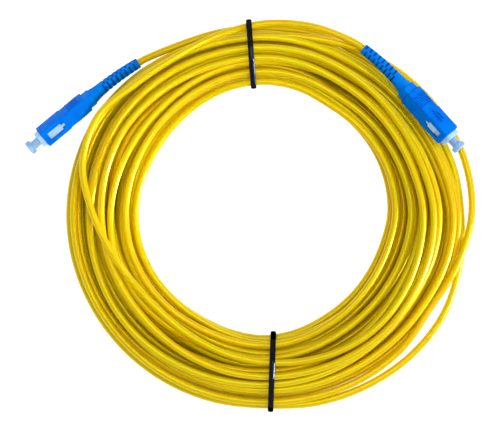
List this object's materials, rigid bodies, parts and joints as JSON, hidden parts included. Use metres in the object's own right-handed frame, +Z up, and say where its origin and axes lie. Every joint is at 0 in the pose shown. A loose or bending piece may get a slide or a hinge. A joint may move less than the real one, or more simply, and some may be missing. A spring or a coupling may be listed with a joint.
{
  "type": "fibre optic patch cord",
  "caption": "Yellow single-mode fibre optic patch cord in a tied round coil, with a blue push-pull connector, dust cap and strain relief boot on each end.",
  "frame": {"origin": "on the surface that the coil lies on, under the middle of the whole cord", "axes": "+Z up; +X to the right of the coil as the picture shows it, +Y away from its lower edge"},
  "size_m": [0.1906, 0.1659, 0.0212],
  "materials": {
    "jacket": "semi-gloss extruded jacket",
    "tie": "glossy plastic over wire",
    "frame_plastic": "moulded satin",
    "housing_plastic": "moulded semi-gloss",
    "boot_plastic": "flexible moulded, semi-gloss",
    "cap_plastic": "translucent moulded",
    "ceramic": "ground and polished",
    "nickel_plate": "nickel plated",
    "crimp_steel": "plain",
    "spring_steel": "drawn wire",
    "buffer": "extruded"
  },
  "bodies": {
    "root": {"cord_coil": "jacket", "cord_lead_a": "jacket", "cord_lead_b": "jacket", "tie_top": "tie", "tie_bottom": "tie", "plug_frame_a": "frame_plastic", "stop_ring_a": "nickel_plate", "crimp_ring_a": "crimp_steel", "boot_a": "boot_plastic", "ferrule_spring_a": "spring_steel", "buffered_fibre_a": "buffer", "plug_frame_b": "frame_plastic", "stop_ring_b": "nickel_plate", "crimp_ring_b": "crimp_steel", "boot_b": "boot_plastic", "ferrule_spring_b": "spring_steel", "buffered_fibre_b": "buffer"},
    "grip_a": {"outer_housing_a": "housing_plastic"},
    "ferrule_core_a": {"ferrule_a": "ceramic", "ferrule_flange_a": "nickel_plate"},
    "cap_a": {"dust_cap_a": "cap_plastic"},
    "grip_b": {"outer_housing_b": "housing_plastic"},
    "ferrule_core_b": {"ferrule_b": "ceramic", "ferrule_flange_b": "nickel_plate"},
    "cap_b": {"dust_cap_b": "cap_plastic"}
  },
  "joints": [
    {"name": "housing_slide_a", "type": "slide", "parent": "root", "child": "grip_a", "axis": [-0.7683, -0.6401, 0], "range_m": [-0.002, 0]},
    {"name": "ferrule_slide_a", "type": "slide", "parent": "root", "child": "ferrule_core_a", "axis": [-0.7683, -0.6401, 0], "range_m": [-0.0008, 0], "stiffness_N_per_m": 2000, "springref_m": 0.003, "deforming": ["ferrule_spring_a"]},
    {"name": "cap_pull_a", "type": "slide", "parent": "ferrule_core_a", "child": "cap_a", "axis": [-0.7683, -0.6401, 0], "range_m": [0, 0.01]},
    {"name": "housing_slide_b", "type": "slide", "parent": "root", "child": "grip_b", "axis": [0.6718, -0.7383, 0.061], "range_m": [-0.002, 0]},
    {"name": "ferrule_slide_b", "type": "slide", "parent": "root", "child": "ferrule_core_b", "axis": [0.6718, -0.7383, 0.061], "range_m": [-0.0008, 0], "stiffness_N_per_m": 2000, "springref_m": 0.003, "deforming": ["ferrule_spring_b"]},
    {"name": "cap_pull_b", "type": "slide", "parent": "ferrule_core_b", "child": "cap_b", "axis": [0.6718, -0.7383, 0.061], "range_m": [0, 0.01]}
  ]
}
